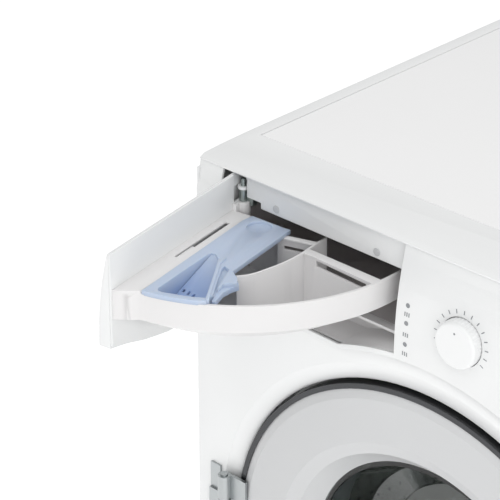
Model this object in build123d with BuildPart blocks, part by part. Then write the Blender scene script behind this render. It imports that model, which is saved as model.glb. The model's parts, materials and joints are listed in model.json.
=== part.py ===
from build123d import *
import os
from math import cos, sin, radians, sqrt

# A front loading washing machine. Millimetres, +Z up, +X to the right of someone facing the front.
# The origin is on the floor, under the middle of everything the machine covers with its detergent
# drawer swung open, so the cabinet itself stands a little behind it.

os.makedirs("parts", exist_ok=True)

# ---- driving dimensions ----
width = 595.0
height = 850.0
depth = 600.0
front = -210.0                  # Y of the flat lower front
back = front + depth
half = width / 2
cabinet_bottom = 14.0           # the feet lift the cabinet this far
sheet = 1.2                     # steel sheet
wall = 2.5                      # moulded plastic wall
gap = 1.5                       # shadow gap between casing pieces

door_z = 452.7                  # height of the door's and the drum's centre
door_radius = 240.8
seam_radius = 277.5             # the control panel's lower edge runs round the door
seam_z = 710.0
band_bow = 4.9                  # how far the control panel stands forward of the lower front
band_top = 843.0

drawer_left = -266.5            # the drawer's opening in the control panel
drawer_right = -36.0
hinge_x = -246.3                # the vertical axis the drawer swings on
hinge_y = front + 14.5
open_angle = 80.5               # the drawer stands open by this much
rim_z = 802.5                   # top of the tray's walls
tray_radius = 191.0             # inside of the tray's round wall, about the hinge axis
tray_floor_z = 750.0
liner_v = -4.4                  # the drawer front's inner face, from the hinge axis
pin_radius = 2.5
running = 0.05                  # radial clearance of a pin in its bore

drum_radius = 238.0
drum_front = front + 95
drum_back = front + 400
tub_radius = 259.0
tub_front_y = front + 78
tub_back_y = front + 430
pulley_y = front + 452
pulley_radius = 145.0
motor_pulley_radius = 12.0
motor_z = 128.0

filter_x, filter_z = 200.0, 64.0
button_z = 777.0
start_x, option_x = 268.0, 228.0
knob_x, knob_z = 40.0, 775.0
damper_x, damper_y = 208.0, front + 300
spring_x, spring_y = 225.0, front + 262
spring_top, spring_bottom = 814.0, 604.0


# ---- planes and small helpers ----
def facing(y):
    """A plane across the machine, seen from the front: its Y is the machine's Z."""
    return Plane(origin=(0, y, 0), x_dir=(1, 0, 0), z_dir=(0, -1, 0))


def drawer_level(z):
    """A level plane that turns with the open drawer: X runs along the drawer front."""
    a = radians(-open_angle)
    return Plane(origin=(hinge_x, hinge_y, z), x_dir=(cos(a), sin(a), 0), z_dir=(0, 0, 1))


def drawer_section(u):
    """An upright plane across the drawer front, u along it from the hinge axis."""
    a = radians(-open_angle)
    place = (hinge_x + u * cos(a), hinge_y + u * sin(a), 0)
    return Plane(origin=place, x_dir=(-sin(a), cos(a), 0), z_dir=(cos(a), sin(a), 0))


def drawer_face(v):
    """An upright plane along the drawer front, v behind the hinge axis: its Y is up."""
    a = radians(-open_angle)
    place = (hinge_x - v * sin(a), hinge_y + v * cos(a), 0)
    return Plane(origin=place, x_dir=(cos(a), sin(a), 0), z_dir=(sin(a), -cos(a), 0))


def block(x0, x1, y0, y1, z0, z1, mode=Mode.ADD):
    """A box between two corners, in the part that is being built."""
    with Locations(((x0 + x1) / 2, (y0 + y1) / 2, (z0 + z1) / 2)):
        Box(x1 - x0, y1 - y0, z1 - z0, mode=mode)


def disc(x, z, radius, y0, y1, mode=Mode.ADD):
    """A cylinder along Y, in the part that is being built."""
    with Locations(Location((x, (y0 + y1) / 2, z), (90, 0, 0))):
        Cylinder(radius, y1 - y0, mode=mode)


def post(x, y, radius, z0, z1, mode=Mode.ADD):
    """A cylinder along Z, in the part that is being built."""
    with Locations((x, y, (z0 + z1) / 2)):
        Cylinder(radius, z1 - z0, mode=mode)


def tube_ring(outer, inner, y0, y1, mode=Mode.ADD):
    """A ring about the drum's axis, in the part that is being built."""
    length = y1 - y0
    ring = Cylinder(outer, length, mode=Mode.PRIVATE) - Cylinder(inner, length, mode=Mode.PRIVATE)
    with Locations(Location((0, (y0 + y1) / 2, door_z), (90, 0, 0))):
        add(ring, mode=mode)


def save(piece, name):
    piece.part.label = name
    export_step(piece.part, f"parts/{name}.step")


drum_axis = Axis((0, 0, door_z), (0, 1, 0))

# ---- cabinet ----
panel_front = front + 12.0
for name, side in (("side_panel_left", -1), ("side_panel_right", 1)):
    with BuildPart() as side_panel:
        outer = side * half
        inner = side * (half - sheet)
        lip = side * (half - 18)
        x0, x1 = sorted((outer, inner))
        block(x0, x1, panel_front, back - sheet, cabinet_bottom, height - 14)
        f0, f1 = sorted((outer, lip))
        block(f0, f1, back - 2 * sheet, back - sheet, cabinet_bottom, height - 14)
    save(side_panel, name)

with BuildPart() as rear_panel:
    block(-half, half, back - sheet, back, cabinet_bottom, height - 14)
    disc(0, door_z, 175, back - 4 * sheet, back + sheet, mode=Mode.SUBTRACT)
    block(-240, -200, back - 2 * sheet, back + sheet, 770, 806, mode=Mode.SUBTRACT)
    disc(-150, 760, 16, back - 2 * sheet, back + sheet, mode=Mode.SUBTRACT)
    disc(220, 700, 13, back - 2 * sheet, back + sheet, mode=Mode.SUBTRACT)
save(rear_panel, "rear_panel")

with BuildPart() as rear_cover:
    disc(0, door_z, 174.5, back - sheet, back)
    disc(0, door_z, 120, back - 4, back - sheet)
    disc(0, door_z, 118.8, back - 4 + sheet, back + 1, mode=Mode.SUBTRACT)
    tube_ring(185, 170, back - 2 * sheet, back - sheet)
save(rear_cover, "rear_cover")

with BuildPart() as base_frame:
    floor_z = cabinet_bottom
    inside = half - sheet - 0.3
    block(-inside, inside, front + 20, back - 3 * sheet, floor_z, floor_z + 2)
    for x in (-inside, inside - 2):
        block(x, x + 2, front + 20, back - 3 * sheet, floor_z, floor_z + 40)
    for y in (front + 20, back - 3 * sheet - 2):
        block(-inside, inside, y, y + 2, floor_z, floor_z + 40)
    for x in (-250, 250):
        for y in (front + 55, back - 55):
            post(x, y, 14, floor_z, floor_z + 22)
            post(x, y, 5 + running, floor_z - 1, floor_z + 30, mode=Mode.SUBTRACT)
    disc(filter_x, filter_z, 35, front + 10, front + 30, mode=Mode.SUBTRACT)
save(base_frame, "base_frame")

with BuildPart() as crossbars:
    for y in (front + 60, back - 90):
        inside = half - sheet - 0.3
        block(-inside, inside, y, y + 30, height - 22, height - 20)
        block(-inside, inside, y, y + 2, height - 32, height - 20)
    # hangers for the suspension springs
    for side in (-1, 1):
        x0, x1 = sorted((side * inside, side * (spring_x - 15)))
        block(x0, x1, spring_y - 8, spring_y + 8, spring_top, spring_top + 3)
save(crossbars, "crossbars")

# ---- lower front: a sheet with a round dish that the door closes into ----
dish_back = front + 26
with BuildPart() as front_panel:
    with BuildSketch(facing(front)):
        with Locations((0, 410)):
            Rectangle(width, 2 * (seam_z - gap - 410))
        with Locations((0, door_z)):
            Circle(seam_radius - gap)
        with Locations((0, door_z)):
            Circle(262, mode=Mode.SUBTRACT)
    extrude(amount=-sheet)
    with BuildSketch(Plane.YZ):
        with BuildLine():
            Polyline(
                (front, door_z + 263),
                (front + 4, door_z + 246),
                (front + 6, door_z + 244),
                (dish_back, door_z + 244),
                (dish_back, door_z + 172),
                (dish_back + 6, door_z + 172),
                (dish_back + 6, door_z + 174),
                (dish_back + sheet, door_z + 174),
                (dish_back + sheet, door_z + 244 + sheet),
                (front + 6 + sheet, door_z + 244 + sheet),
                (front + 4 + sheet, door_z + 246 + sheet),
                (front + sheet, door_z + 263),
                close=True,
            )
        make_face()
    revolve(axis=drum_axis)
    # side returns that the steel sides overlap
    for side in (-1, 1):
        x0, x1 = sorted((side * half, side * (half - sheet)))
        block(x0, x1, front, panel_front - 0.3, 110 + gap, seam_z - gap)
    # the latch slot and the opening for the filter
    block(196, 219, dish_back - 1, dish_back + 9, door_z - 22, door_z + 22, mode=Mode.SUBTRACT)
save(front_panel, "front_panel")

kick_top = 110.0
flap_x0, flap_x1, flap_z0, flap_z1 = 130.0, 270.0, 26.0, 104.0
flap_gap = 1.0
flap_foot = flap_z0 + 2.0
with BuildPart() as kick_panel:
    block(-half, half, front + 1, front + 3.5, cabinet_bottom + 1, kick_top)
    for side in (-1, 1):
        x0, x1 = sorted((side * half, side * (half - 2.5)))
        block(x0, x1, front + 1, panel_front - 0.3, cabinet_bottom + 1, kick_top)
    block(flap_x0, flap_x1, front, front + 10, flap_z0, flap_z1, mode=Mode.SUBTRACT)
    disc(filter_x, filter_z, 31, front, front + 20, mode=Mode.SUBTRACT)
save(kick_panel, "kick_panel")

# ---- worktop ----
trim_side = 15.2
trim_front_y = front + 76.0
panel_drop = 12.0
with BuildPart() as worktop_panel:
    x1 = half - trim_side - 1.0
    block(-x1, x1, trim_front_y + 1.0, back - 14, height - panel_drop, height)
    fillet(worktop_panel.edges().group_by(Axis.Z)[-1], 1.0)
save(worktop_panel, "worktop_panel")

with BuildPart() as worktop_frame:
    with BuildSketch(Plane.YZ.offset(-half)):
        with BuildLine():
            Polyline(
                (front + 6.1, 845),
                (front + 12.7, 848),
                (front + 35.6, 849.2),
                (front + 76, height),
                (front + 76, height - 14),
                (front + 18, height - 14),
                (front + 18, 843.5),
                (front + 6.1, 843.5),
                close=True,
            )
        make_face()
    extrude(amount=width)
    for side in (-1, 1):
        x0, x1 = sorted((side * half, side * (half - trim_side)))
        block(x0, x1, trim_front_y, back, height - 13.5, height)
    block(-half, half, back - 13, back, height - 13.5, height)
    x1 = half - trim_side
    for side in (-1, 1):
        x0, x1 = sorted((side * (half - trim_side), side * (half - trim_side - 12)))
        block(x0, x1, trim_front_y, back - 13, height - 14, height - 12.2)
    # room under the trim for the hinge end of the drawer front
    block(drawer_left - 6, -226, front + 9, front + 42, 830, 844.5, mode=Mode.SUBTRACT)
    upright = worktop_frame.edges().filter_by(Axis.Z)
    corners = [e for e in upright if abs(abs(e.center().X) - half) < 0.1 and e.length > 12]
    fillet(corners, 4.0)
save(worktop_frame, "worktop_frame")

# ---- control panel: bowed band across the top front, notched for the drawer ----
notch_z = 714.8
band_skin = 3.0
with BuildPart() as band_body:
    with BuildSketch(Plane.YZ.offset(-half)):
        with BuildLine():
            band_low = (front - band_bow, 745)
            band_crest = (front + 7.4, band_top)
            TangentArc(band_low, band_crest, tangent=(0, 1))
            Polyline(band_crest, (front + 20, band_top), (front + 20, seam_z), (front - band_bow, seam_z), band_low)
        make_face()
    extrude(amount=width)
    with BuildSketch(Plane.XY.offset(600)):
        with BuildLine():
            ThreePointArc((-half, front + 1.0), (0, front - band_bow), (half, front + 1.0))
            Polyline((half, front + 1.0), (half, front + 60), (-half, front + 60), (-half, front + 1.0))
        make_face()
    extrude(amount=300, mode=Mode.INTERSECT)

with BuildPart() as control_panel:
    add(band_body.part)
    # only the front skin stays
    add(band_body.part.moved(Location((0, band_skin, 0))), mode=Mode.SUBTRACT)
    # the ends reach back to the steel sides
    for side in (-1, 1):
        x0, x1 = sorted((side * half, side * (half - 2.5)))
        block(x0, x1, front + 2.0, panel_front - 0.3, seam_z, height - 14)
    # the lower edge runs round the door
    disc(0, door_z, seam_radius, front - 20, front + 40, mode=Mode.SUBTRACT)
    # notch for the drawer, whose lower edge runs round the door too
    with BuildSketch(facing(front - 30)):
        with Locations(((drawer_left + drawer_right) / 2, (notch_z + 860) / 2)):
            Rectangle(drawer_right - drawer_left, 860 - notch_z)
        with Locations((0, door_z)):
            Circle(seam_radius + 5, mode=Mode.SUBTRACT)
    extrude(amount=-60, mode=Mode.SUBTRACT)
    # seats for the knob, the display and the buttons
    disc(knob_x, knob_z, 24, front - 20, front + 40, mode=Mode.SUBTRACT)
    block(96, 196, front - 20, front + 40, 757, 797, mode=Mode.SUBTRACT)
    for x in (option_x, start_x):
        disc(x, button_z, 7.5, front - 20, front + 40, mode=Mode.SUBTRACT)
save(control_panel, "control_panel")

with BuildPart() as display_window:
    with BuildSketch(facing(front - 2.6)):
        with Locations((146, 777)):
            RectangleRounded(99, 39, 3)
    extrude(amount=-8)
save(display_window, "display_window")

with BuildPart() as control_box:
    block(60, 285, front + 12, front + 50, 740, 822)
    block(62, 283, front + 14, front + 60, 742, 820, mode=Mode.SUBTRACT)
    block(62, 283, front + 20, front + 22, 742, 820)
    disc(knob_x, knob_z, 14, front + 12, front + 30)
    block(knob_x, 62, front + 14, front + 18, knob_z - 7, knob_z + 7)
    disc(knob_x, knob_z, 4 + running, front + 5, front + 31, mode=Mode.SUBTRACT)
    for x in (option_x, start_x):
        disc(x, button_z, 3.2, front + 5, front + 19, mode=Mode.SUBTRACT)
save(control_box, "control_box")

with BuildPart() as programme_knob:
    disc(knob_x, knob_z, 23, front - 14, front + 2)
    fillet(programme_knob.edges().group_by(Axis.Y)[0], 3)
    disc(knob_x, knob_z, 20, front - 2, front + 3, mode=Mode.SUBTRACT)
    disc(knob_x, knob_z, 4, front - 10, front + 28)
save(programme_knob, "programme_knob")

for name, x in (("start_button", start_x), ("option_button", option_x)):
    with BuildPart() as button:
        disc(x, button_z, 7.1, front - 6.0, front + 4)
        fillet(button.edges().group_by(Axis.Y)[0], 1.0)
        disc(x, button_z, 2.5, front + 4, front + 17.5)
    save(button, name)

# ---- detergent drawer housing ----
housing_left = drawer_left - 6.0
housing_right = -32.0
housing_front = front + 22.0
housing_back = front + 226.0
housing_floor = 742.0
with BuildPart() as dispenser_housing:
    block(housing_left, housing_right, housing_front, housing_back, housing_floor, 817.5)
    block(housing_left + wall, housing_right - wall, housing_front - 1, housing_back - wall,
          housing_floor + wall, 815, mode=Mode.SUBTRACT)
    # the drawer front's hinge end swings in here, past the floor and the top
    block(housing_left + wall, -238, housing_front - 1, front + 40, housing_floor - 1, 818, mode=Mode.SUBTRACT)
    # seat of the hinge pin
    block(hinge_x - 3, -230, hinge_y - 2.9, housing_front, housing_floor, housing_floor + wall)
    # water inlets at the back
    for x in (-190, -120, -70):
        disc(x, 800, 7, housing_back, housing_back + 16)
save(dispenser_housing, "dispenser_housing")

with BuildPart() as dispenser_header:
    block(-240, -36.6, front + 11.5, front + 14, 812.7, 842.5)
    block(-240, -36.6, front + 14, front + 21.7, 832, 834)
    block(-241, -220.4, front + 11, front + 22, 812, 819, mode=Mode.SUBTRACT)
    post(hinge_x, hinge_y, 8, 815, 838, mode=Mode.SUBTRACT)
save(dispenser_header, "dispenser_header")

scoop_left = -150.0
scoop_back = front + 40.0
flat_end = -104.0               # the pocket's floor is level from here to its left end
with BuildPart() as drawer_scoop:
    # floor, back and end walls of the finger pocket under the drawer: the floor follows the door's curve
    with BuildSketch(facing(front - 0.9)):
        with Locations(((flat_end + drawer_right) / 2, 725)):
            Rectangle(drawer_right - flat_end, 60)
        with Locations((0, door_z)):
            Circle(seam_radius + 4.8, mode=Mode.INTERSECT)
            Circle(seam_radius + 2.0, mode=Mode.SUBTRACT)
    extrude(amount=-(scoop_back - front + 0.9))
    block(scoop_left, flat_end + 1, front + 3, scoop_back, notch_z - 2.4, notch_z)
    block(scoop_left, drawer_right, scoop_back - 2, scoop_back, 712, 741.5)
    block(scoop_left, scoop_left + 2, front + 10.7, scoop_back, 712, 741.5)
    block(scoop_left, drawer_right + 2.6, front + 12, front + 21.7, 741.5, 744.5)
    block(drawer_right + 0.1, drawer_right + 2.6, front, scoop_back, 716, 741.5)
    block(drawer_right + 0.1, drawer_right + 2.6, front, front + 21.7, 741.5, 775)
    block(drawer_right + 0.1, drawer_right + 2.6, front + 11, front + 21.7, 775, 811)
    disc(0, door_z, seam_radius + 2.0, front - 10, scoop_back + 10, mode=Mode.SUBTRACT)
save(drawer_scoop, "drawer_scoop")

# ---- drawer hinge: a bracket with its pin ----
with BuildPart() as hinge_bracket:
    post(hinge_x, hinge_y, 4.1, 812.5, 825.5)
    block(hinge_x, -236, hinge_y + 1, hinge_y + 4, 813, 825.5)
    block(-238, -234.5, hinge_y + 1, hinge_y + 7.3, 809, 831.7)
    post(hinge_x, hinge_y, pin_radius, housing_floor + wall, 836)
save(hinge_bracket, "hinge_bracket")

with BuildPart() as hinge_washer:
    post(hinge_x, hinge_y, 5.7, 825.5, 828.5)
    post(hinge_x, hinge_y, pin_radius + running, 820, 840, mode=Mode.SUBTRACT)
save(hinge_washer, "hinge_washer")

# ---- drawer front and tray, built where they stand when the drawer is open ----
front_u0 = -17.5
front_u1 = drawer_right - gap - hinge_x
front_foot_z = 716.5
front_shell = 2.4
front_back_v = liner_v - 2      # the shell's open back, against the liner


def drawer_front_body(inset, crest, back_v):
    """The drawer front's shape with its outer faces moved in by inset, up to crest and back to back_v."""
    face_v = -14.5 - band_bow + inset
    foot_z = front_foot_z + inset
    u0 = front_u0 + 2.2 * inset     # clear of the rounded corner
    u1 = front_u1 - inset
    with BuildPart() as body:
        with BuildSketch(drawer_section(u0)):
            with BuildLine():
                low = (face_v, 745)
                TangentArc(low, crest, tangent=(0, 1))
                Polyline(crest, (back_v, crest[1]), (back_v, foot_z), (face_v, foot_z), low)
            make_face()
        extrude(amount=u1 - u0)
        # bowed in plan like the control panel
        with BuildSketch(drawer_level(700)):
            with BuildLine():
                bow_start = (u0, face_v + 5.9 * (drawer_left / half) ** 2)
                bow_middle = (95, face_v + 5.9 * ((hinge_x + 95) / half) ** 2)
                bow_end = (u1, face_v)
                ThreePointArc(bow_start, bow_middle, bow_end)
                Polyline(bow_end, (u1, 20), (u0, 20), bow_start)
            make_face()
        extrude(amount=200, mode=Mode.INTERSECT)
        # the lower edge rises towards the free end and leaves a finger gap
        with BuildSketch(drawer_face(0)):
            with BuildLine():
                rise = [(85, foot_z), (118, 719.5 + inset), (154, 728 + inset), (184, 738 + inset), (230, 749.1 + inset)]
                Polyline((85, 690), *rise, (230, 690), close=True)
            make_face()
        extrude(amount=60, both=True, mode=Mode.SUBTRACT)
    return body.part


drawer_front_solid = drawer_front_body(0, (-14.5 + 7.4, band_top), front_back_v)
drawer_front_core = drawer_front_body(front_shell, (-8.2, 828), front_back_v + 1)
with BuildPart() as drawer_front:
    add(drawer_front_solid)
    # the hinge end's outer corner is rounded so that it turns inside the opening
    along = drawer_level(0)
    corner = [e for e in drawer_front.edges()
              if along.to_local_coords(e.center()).X < front_u0 + 0.5
              and along.to_local_coords(e.center()).Y < -12 and e.length > 60]
    fillet(corner, 7)
    add(drawer_front_core, mode=Mode.SUBTRACT)
save(drawer_front, "drawer_front")

with BuildPart() as drawer_liner:
    with BuildSketch(drawer_face(liner_v)):
        with BuildLine():
            Polyline((front_u0 + 3, band_top - 0.8), (front_u0 + 3, front_foot_z + 1.5), (85, front_foot_z + 1.5),
                     (118, 721), (154, 729.5), (184, 739.5), (front_u1 - 0.8, 747), (front_u1 - 0.8, band_top - 0.8),
                     close=True)
        make_face()
        # window beside the hinge post
        with Locations((-2, 830)):
            Rectangle(24, 35, mode=Mode.SUBTRACT)
    extrude(amount=2)
save(drawer_liner, "drawer_liner")

ledge_z = 805.5
shelf_v = 17.0
with BuildPart() as detergent_tray:
    # bowl: round wall with a proud outer band, sloping skirt, floor; turned about the hinge axis
    with BuildSketch(drawer_face(0)):
        with BuildLine():
            Polyline(
                (16, tray_floor_z - wall),
                (152, tray_floor_z - wall),
                (tray_radius + 3.0, 775.3),
                (tray_radius + 3.0, rim_z),
                (tray_radius, rim_z),
                (tray_radius, 777),
                (151, tray_floor_z),
                (16, tray_floor_z),
                close=True,
            )
        make_face()
    revolve(axis=Axis((hinge_x, hinge_y, 0), (0, 0, 1)), revolution_arc=76)
    # everything behind the back wall goes
    with BuildSketch(drawer_level(700)):
        with BuildLine():
            Polyline((13, -20), (13, 57), (26.5, 61), (20.5, 98), (40, 98), (41, 108), (57, 184), (61, 203),
                     (-60, 220), (-60, -20), close=True)
        make_face()
    extrude(amount=120, mode=Mode.SUBTRACT)
    # the band runs on past it
    with BuildSketch(drawer_face(0)):
        with Locations((tray_radius + 1.5, (775.3 + rim_z) / 2)):
            Rectangle(3, rim_z - 775.3)
    revolve(axis=Axis((hinge_x, hinge_y, 0), (0, 0, 1)), revolution_arc=84)
    # back wall, up to the rim: one run in each compartment
    with BuildSketch(drawer_level(tray_floor_z - wall)):
        with BuildLine():
            Polyline((13, 18), (13, 57), (26.5, 61), (20.5, 98), (23.2, 98), (29.2, 59), (15.5, 55), (15.5, 18),
                     close=True)
        make_face()
        with BuildLine():
            Polyline((40, 96.6), (41, 108), (57, 185), (59.6, 184.6), (43.6, 107.6), (42.6, 96.6), close=True)
        make_face()
    extrude(amount=rim_z - tray_floor_z + wall)
    # nothing stands out below the band, past the sloping skirt
    with BuildSketch(drawer_face(0)):
        with BuildLine():
            Polyline((152, tray_floor_z - wall - 2), (152, tray_floor_z - wall), (tray_radius + 3.0, 775.3),
                     (tray_radius + 30, 775.3), (tray_radius + 30, tray_floor_z - wall - 2), close=True)
        make_face()
    revolve(axis=Axis((hinge_x, hinge_y, 0), (0, 0, 1)), mode=Mode.SUBTRACT)
    # long slots in it, one in each compartment
    for start, end, low, high in (((28, 65.6), (24, 90.5), 790, 794), ((43.2, 112.4), (56.2, 175), 792.3, 799)):
        with BuildSketch(drawer_level(low)):
            with BuildLine(mode=Mode.PRIVATE) as cut:
                Line(start, end)
            trace(cut.edges(), 7)
        extrude(amount=high - low, mode=Mode.SUBTRACT)
    # its flange
    with BuildSketch(drawer_level(rim_z - 1.6)):
        with BuildLine():
            Polyline((24, 62), (18, 98), (24.5, 98), (30.5, 60), (27, 59), close=True)
        make_face()
        with BuildLine():
            Polyline((34, 97), (35.6, 108), (48.6, 187), (59.6, 184.6), (44.6, 107.6), (43.6, 97), close=True)
        make_face()
    extrude(amount=1.6)
    # front wall against the liner, and the shelf on top of it
    with BuildSketch(drawer_level(tray_floor_z - wall)):
        with BuildLine():
            Polyline((13, liner_v + 0.1), (151, liner_v + 0.1), (151, liner_v + 2.6), (13, liner_v + 2.6), close=True)
        make_face()
    extrude(amount=ledge_z - tray_floor_z + wall)
    with BuildSketch(drawer_level(775.3)):
        with BuildLine():
            Polyline((150, liner_v + 0.1), (191, liner_v + 0.1), (191, liner_v + 2.6), (150, liner_v + 2.6), close=True)
        make_face()
    extrude(amount=ledge_z - 775.3)
    with BuildSketch(drawer_level(ledge_z - 2)):
        with BuildLine():
            Polyline((13, liner_v + 0.1), (206.5, liner_v + 0.1), (204, 1), (199, 9), (193, shelf_v + 1),
                     (13, shelf_v + 1), close=True)
        make_face()
        with BuildLine():
            Polyline((37, 4.5), (122, 4.5), (122, 7), (96, 7), (96, 9.5), (37, 9.5), close=True)
        make_face(mode=Mode.SUBTRACT)
    extrude(amount=2)
    # the shelf's free end comes down to the band's lower edge
    with BuildSketch(drawer_level(775.3)):
        with BuildLine():
            Polyline((190, liner_v + 0.1), (206.5, liner_v + 0.1), (204, 1), (199, 9), (193, shelf_v + 1),
                     (190.4, shelf_v + 1), (191, 10), (190, 5), close=True)
        make_face()
    extrude(amount=ledge_z - 775.3)
    # divider between the two powder compartments
    with BuildSketch(drawer_level(tray_floor_z)):
        with BuildLine():
            Spline((117, 71.6), (107.3, 80.4), (91.8, 87.2), (68.6, 94.3), (47.4, 97.5), (27.3, 98.3), (5, 99.6))
            Line((5, 99.6), (5, 97.6))
            Spline((5, 97.6), (27.2, 96.3), (47, 95.5), (68, 92.3), (90.8, 85.4), (106.1, 78.8), (115.6, 70.1))
            Line((115.6, 70.1), (117, 71.6))
        make_face()
    extrude(amount=rim_z - tray_floor_z)
    # two upright ribs on it
    for u in (30.5, 35.7):
        with BuildSketch(drawer_level(tray_floor_z)):
            with Locations((u, 95.6)):
                Rectangle(2, 2.4)
        extrude(amount=794 - tray_floor_z)
    # end block that the drawer turns on: two arms round the hinge pin
    for z0, z1 in ((797, 812), (tray_floor_z - wall, tray_floor_z + 6)):
        with BuildSketch(drawer_level(z0)):
            Circle(7)
            with Locations((2, liner_v / 2 + 0.2)):
                Rectangle(22, -liner_v)
            with Locations((0, liner_v - 9.9)):
                Rectangle(60, 20, mode=Mode.SUBTRACT)
            Circle(pin_radius + running, mode=Mode.SUBTRACT)
        extrude(amount=z1 - z0)
    with BuildSketch(drawer_level(tray_floor_z - wall)):
        with Locations((10, 3)):
            Rectangle(10, 12.6)
    extrude(amount=wall)
save(detergent_tray, "detergent_tray")

insert_z = ledge_z - 1.2
well_floor_z = 777.0
with BuildPart() as softener_insert:
    with BuildSketch(drawer_level(insert_z)):
        with BuildLine():
            Polyline((27, 18.5), (189.4, 18.5))
            ThreePointArc((189.4, 18.5), (184.6, 48), (174, 76))
            Polyline((174, 76), (124, 77), (116.7, 65.5), (17.6, 64.6), (14, 24), (27, 18.5))
        make_face()
    extrude(amount=2)
    # the well, with a floor that falls towards the round wall, and the rim that hangs below the plate
    with BuildSketch(drawer_level(well_floor_z)):
        with BuildLine():
            Polyline((96, 27.2), (183, 27.2), (186.3, 31), (186.4, 36), (181, 56.5), (177, 67.5), (172.6, 77),
                     (130, 57), (101, 43), (95.6, 34), (96, 27.2))
        make_face()
    extrude(amount=insert_z + 1 - well_floor_z)
    with BuildSketch(drawer_level(well_floor_z + 1.5)):
        with BuildLine():
            Polyline((98.4, 28.8), (181.5, 28.8), (184.6, 32), (184.7, 36), (179.4, 56), (175.4, 66.8), (171.4, 75),
                     (131, 55.6), (103.6, 42.2), (97.8, 35.4), (98.4, 28.8))
        make_face()
    extrude(amount=30, mode=Mode.SUBTRACT)
    # siphon cap: a cup under the round dimple
    with BuildSketch(drawer_level(790)):
        with Locations((31.5, 38)):
            Circle(14.5)
    extrude(amount=insert_z - 790)
    with BuildSketch(drawer_level(791.5)):
        with Locations((31.5, 38)):
            Circle(13)
    extrude(amount=insert_z + 0.6 - 791.5, mode=Mode.SUBTRACT)
    # finger tab at the insert's outer corner
    with BuildSketch(drawer_level(insert_z - 10)):
        with BuildLine():
            Polyline((174, 76), (141, 73.5), (130, 79), (131, 81), (141.4, 76), (173.5, 78), (174, 76))
        make_face()
    extrude(amount=10)
save(softener_insert, "softener_insert")

# ---- door ----
door_front = front - 2.0
door_back = front + 22.0
door_hinge_x, door_hinge_y = -252.0, front - 9.0
with BuildPart() as door_ring:
    tube_ring(door_radius, door_radius - 5.5, front - 0.5, door_back)
save(door_ring, "door_ring")

handle_x0, handle_x1, handle_half = 196.0, 218.0, 45.0
pocket_x0 = 193.2               # room for the handle's inner edge to swing in
with BuildPart() as door_frame:
    with BuildSketch(Plane.YZ):
        with BuildLine():
            Polyline(
                (door_back, door_z + 150),
                (front + 4, door_z + 166),
                (door_front, door_z + 180),
                (door_front, door_z + 226),
                (front + 1, door_z + door_radius - 5.6),
                (door_back, door_z + door_radius - 5.6),
                (door_back, door_z + door_radius - 8),
                (front + 5, door_z + door_radius - 8),
                (front + 2, door_z + 222),
                (front + 2, door_z + 181),
                (front + 8, door_z + 168),
                (door_back, door_z + 153),
                close=True,
            )
        make_face()
    revolve(axis=drum_axis)
    # pocket behind the handle, and the arms to the hinge
    block(pocket_x0 - 2, 229, front + 0, front + 18.8, door_z - handle_half - 2, door_z + handle_half + 2)
    block(pocket_x0, 227, front - 10, front + 17, door_z - handle_half, door_z + handle_half, mode=Mode.SUBTRACT)
save(door_frame, "door_frame")

with BuildPart() as door_back_ring:
    tube_ring(door_radius - 8.4, 160, door_back - 3, door_back)
    block(200, 214, door_back - 4, door_back + 4, door_z - 20, door_z + 20, mode=Mode.SUBTRACT)
save(door_back_ring, "door_back_ring")

with BuildPart() as door_glass:
    with BuildSketch(Plane.YZ):
        with BuildLine():
            Polyline(
                (door_back, door_z + 149.8),
                (door_back, door_z + 166),
                (door_back + 4, door_z + 166),
                (door_back + 7, door_z + 150),
                (front + 74, door_z + 128),
                (front + 88, door_z + 100),
                (front + 92, door_z),
                (front + 88, door_z),
                (front + 84, door_z + 98),
                (front + 70, door_z + 124.5),
                (door_back, door_z + 145),
                close=True,
            )
        make_face()
    revolve(axis=drum_axis)
save(door_glass, "door_glass")

latch_x, latch_y = 207.0, front + 24.5
with BuildPart() as door_fittings:
    for z in (door_z - 34, door_z + 34):
        post(door_hinge_x, door_hinge_y, 7, z - 14, z + 14)
        block(door_hinge_x, -225, door_hinge_y + 3, door_hinge_y + 6.5, z - 14, z + 14)
    for z in (door_z - 34, door_z + 34):
        post(door_hinge_x, door_hinge_y, 4 + running, z - 15, z + 15, mode=Mode.SUBTRACT)
    # the latch hook's pin and its two ears, at the other side of the door
    post(latch_x, latch_y, 1.5, door_z - 17, door_z + 17)
    for z in (door_z - 24, door_z + 9):
        block(latch_x - 4, latch_x + 4, door_back, latch_y + 1.2, z, z + 15)
save(door_fittings, "door_fittings")

with BuildPart() as door_hinge_bracket:
    post(door_hinge_x, door_hinge_y, 7, door_z - 19.5, door_z + 19.5)
    post(door_hinge_x, door_hinge_y, 4, door_z - 50, door_z + 50)
    block(-278, door_hinge_x, front - 5, front - 0.1, door_z - 19.5, door_z + 19.5)
    block(-278, -264, front - 2.5, front - 0.1, door_z - 50, door_z + 50)
save(door_hinge_bracket, "door_hinge_bracket")

with BuildPart() as door_handle:
    block(handle_x0 + 0.5, handle_x1, door_front - 1, front + 2, door_z - handle_half + 0.6,
          door_z + handle_half - 0.6)
    fillet(door_handle.edges().group_by(Axis.Y)[0], 1.2)
    post(handle_x0 + 4, front + 5, 3.2, door_z - handle_half + 0.6, door_z + handle_half - 0.6)
save(door_handle, "door_handle")

with BuildPart() as latch_hook:
    post(latch_x, latch_y, 3.5, door_z - 8, door_z + 8)
    block(latch_x - 2.5, latch_x + 2.5, latch_y, front + 42, door_z - 7, door_z + 7)
    block(latch_x - 2.5, latch_x + 6.5, front + 38, front + 42, door_z - 7, door_z + 7)
    post(latch_x, latch_y, 1.5 + running, door_z - 9, door_z + 9, mode=Mode.SUBTRACT)
save(latch_hook, "latch_hook")

with BuildPart() as door_lock:
    block(188, 236, front + 36, front + 66, door_z - 45, door_z + 45)
    block(198, 222, front + 30, front + 50, door_z - 15, door_z + 15, mode=Mode.SUBTRACT)
    block(226, 240, front + 28.5, front + 36, door_z - 40, door_z + 40)
save(door_lock, "door_lock")

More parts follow.
